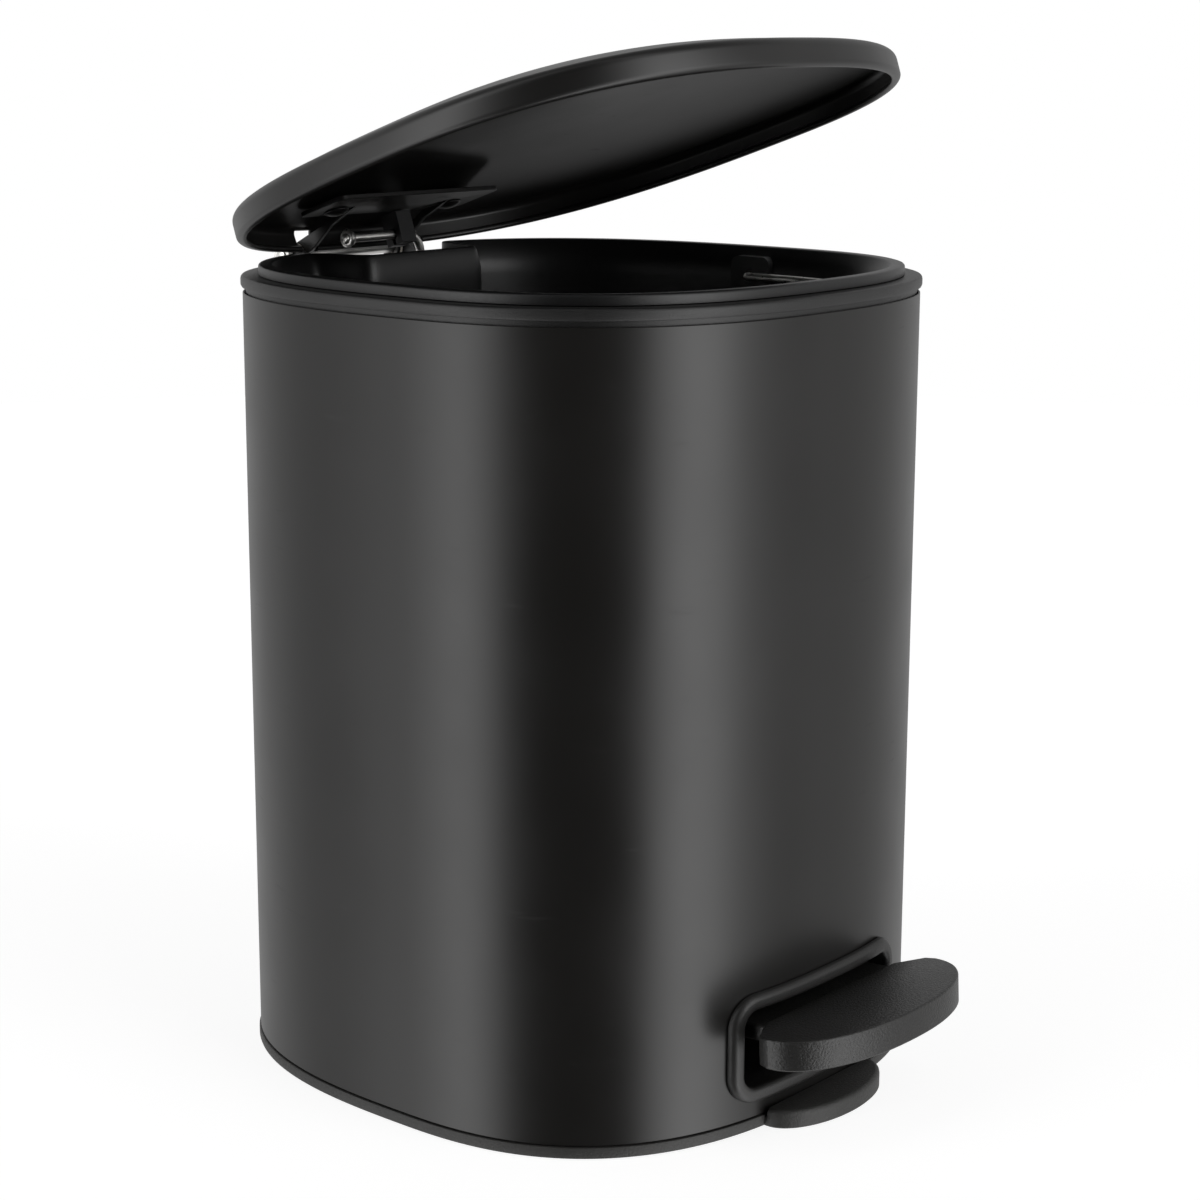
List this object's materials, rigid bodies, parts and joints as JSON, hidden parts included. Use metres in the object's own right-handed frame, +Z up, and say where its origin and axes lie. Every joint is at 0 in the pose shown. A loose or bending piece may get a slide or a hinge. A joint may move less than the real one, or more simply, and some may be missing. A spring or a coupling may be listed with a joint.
{
  "type": "pedal trash can",
  "caption": "Rounded-square pedal trash can: matt black steel body, domed hinged lid held part open, plastic bucket with wire bail, foot pedal and lift rod linkage.",
  "frame": {"origin": "centre of the bounding box's bottom face, on the floor, with the lid in its half-open rest pose", "axes": "+Z up, -Y towards the front where the pedal is, +X to the right of someone who faces the back from the front"},
  "size_m": [0.1996, 0.245, 0.3286],
  "materials": {
    "body_paint": "matt black baked paint with a soft sheen",
    "lid_paint": "matt black baked paint with a soft sheen",
    "black_plastic": "fine spark-eroded texture, matt",
    "bucket_plastic": "smooth moulded plastic, satin",
    "plated_steel": "bright zinc plated wire",
    "sheet_steel": "galvanised sheet, satin",
    "nylon": "natural nylon",
    "foot_rubber": "soft grey rubber"
  },
  "bodies": {
    "body": {"outer_shell": "body_paint", "top_ring": "black_plastic", "base_tray": "black_plastic", "pedal_bezel": "black_plastic", "inner_bucket": "bucket_plastic", "foot_front_left": "foot_rubber", "foot_front_right": "foot_rubber", "foot_back_left": "foot_rubber", "foot_back_right": "foot_rubber", "hinge_pin": "plated_steel", "hinge_pin_nut_left": "plated_steel", "hinge_pin_nut_right": "plated_steel", "hinge_washer_left": "nylon", "hinge_washer_right": "nylon", "pedal_axle": "plated_steel", "axle_clip_left": "plated_steel", "axle_clip_right": "plated_steel", "axle_bush_left": "nylon", "axle_bush_right": "nylon"},
    "lid": {"lid_shell": "lid_paint", "lid_hinge_bracket": "lid_paint", "lid_rivet_left": "lid_paint", "lid_rivet_right": "lid_paint", "lift_clip": "black_plastic"},
    "lift_rod": {"lift_rod": "plated_steel", "rod_push_nut": "plated_steel"},
    "pedal": {"pedal_cover": "black_plastic", "pedal_lever": "sheet_steel", "pedal_screw_1": "plated_steel", "pedal_screw_2": "plated_steel"},
    "bail": {"bucket_bail": "plated_steel"}
  },
  "joints": [
    {"name": "lid_hinge", "type": "hinge", "parent": "body", "child": "lid", "pos_m": [0, 0.1188, 0.2559], "axis": [-1, 0, 0], "range_deg": [-18.67, 39.3]},
    {"name": "rod_pivot", "type": "hinge", "parent": "lid", "child": "lift_rod", "pos_m": [0, 0.10175, 0.26189], "axis": [1, 0, 0], "range_deg": [-18.1, 38]},
    {"name": "pedal_axle", "type": "hinge", "parent": "body", "child": "pedal", "pos_m": [0, -0.0129, 0.02], "axis": [1, 0, 0], "range_deg": [-2.45, 5.15]},
    {"name": "bail_pivot", "type": "hinge", "parent": "body", "child": "bail", "pos_m": [0, 0.0079, 0.2483], "axis": [1, 0, 0], "range_deg": [-9, 80]}
  ],
  "couplings": [
    {"joint": "rod_pivot", "follows": "lid_hinge", "ratio": 0.965},
    {"joint": "pedal_axle", "follows": "lid_hinge", "ratio": 0.13}
  ]
}
